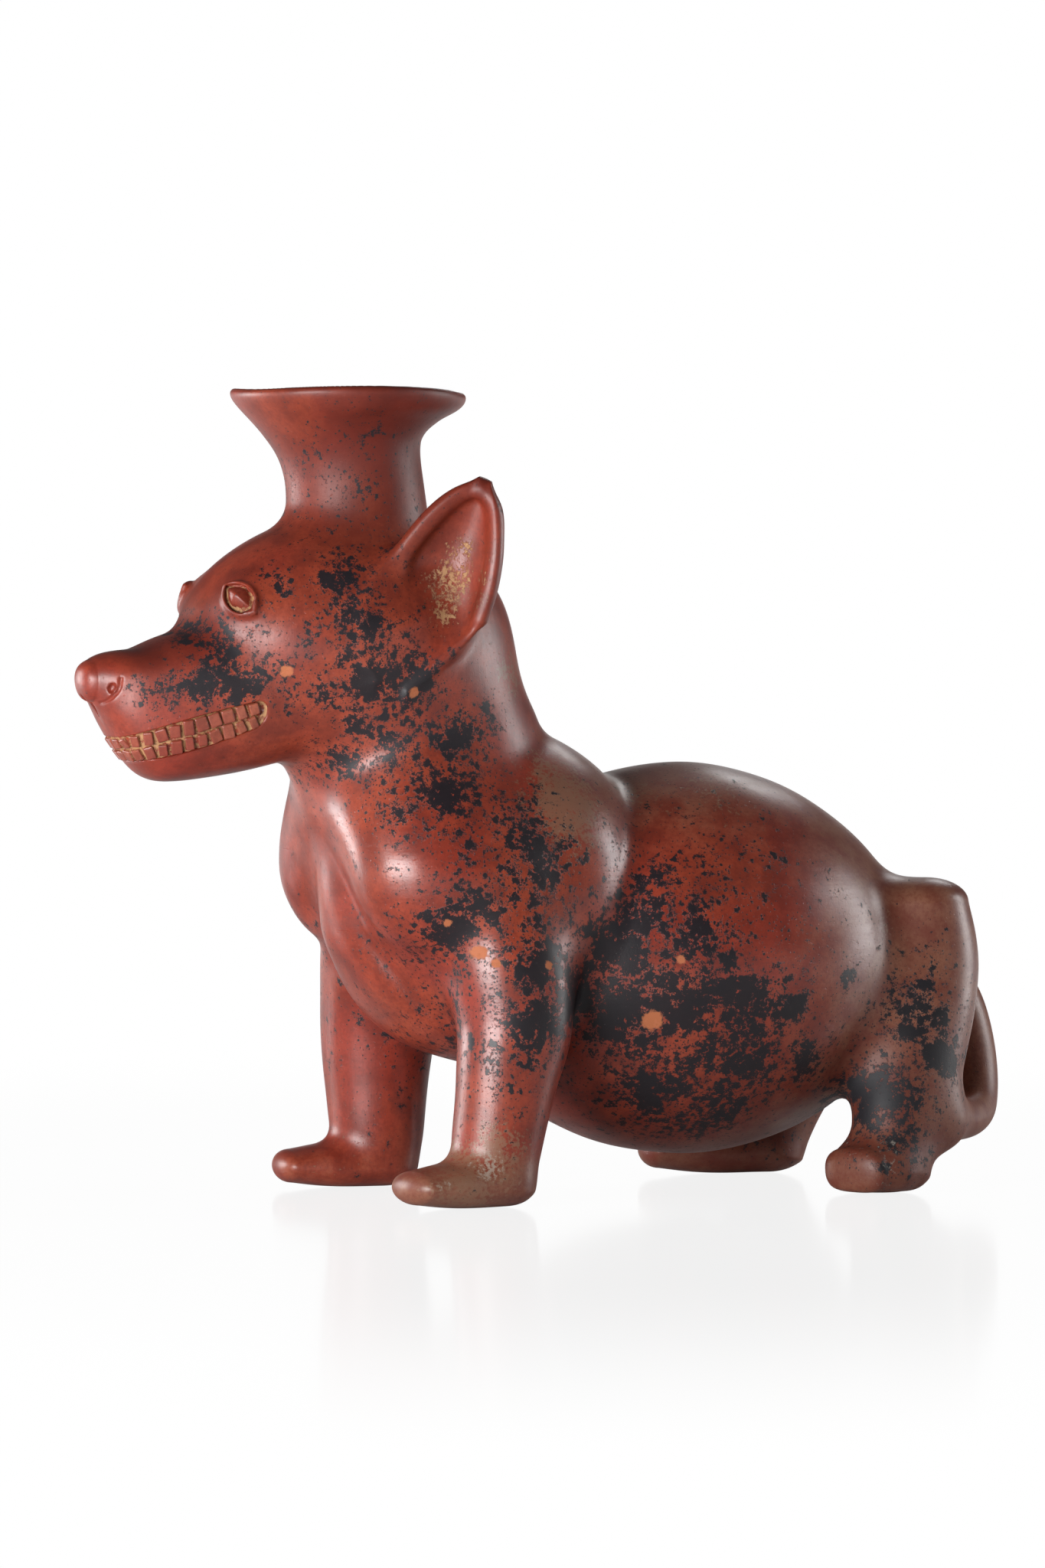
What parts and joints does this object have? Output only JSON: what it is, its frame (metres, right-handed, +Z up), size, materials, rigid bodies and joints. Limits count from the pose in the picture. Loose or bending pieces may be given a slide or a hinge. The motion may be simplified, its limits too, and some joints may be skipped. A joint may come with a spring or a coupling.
{
  "type": "dog-shaped vessel",
  "caption": "Hollow burnished red pottery vessel in the shape of a plump standing dog, with bared teeth, cupped ears and a flared pouring spout on its head.",
  "frame": {"origin": "on the ground under the middle of the vessel's box", "axes": "+X towards the tail, the dog faces -X; +Z up; -Y is the dog's left side"},
  "size_m": [0.3782, 0.1564, 0.3075],
  "materials": {
    "red_slip": "burnished red slip with black mineral blooms",
    "brown_slip": "worn brown-red slip",
    "buff_clay": "scored clay with pale deposits"
  },
  "bodies": {
    "root": {"belly_bowl": "red_slip", "back_dome": "red_slip", "chest_shell": "red_slip", "breast_keel": "red_slip", "neck_shell": "red_slip", "skull_shell": "red_slip", "muzzle": "red_slip", "nose_pad": "red_slip", "upper_teeth": "buff_clay", "lower_teeth": "buff_clay", "spout": "red_slip", "left_ear": "red_slip", "left_eyelid": "red_slip", "left_eyeball": "red_slip", "left_foreleg": "red_slip", "left_forefoot": "red_slip", "left_haunch": "brown_slip", "left_hind_foot": "brown_slip", "right_ear": "red_slip", "right_eyelid": "red_slip", "right_eyeball": "red_slip", "right_foreleg": "red_slip", "right_forefoot": "red_slip", "right_haunch": "brown_slip", "right_hind_foot": "brown_slip", "tail": "brown_slip"}
  },
  "joints": []
}
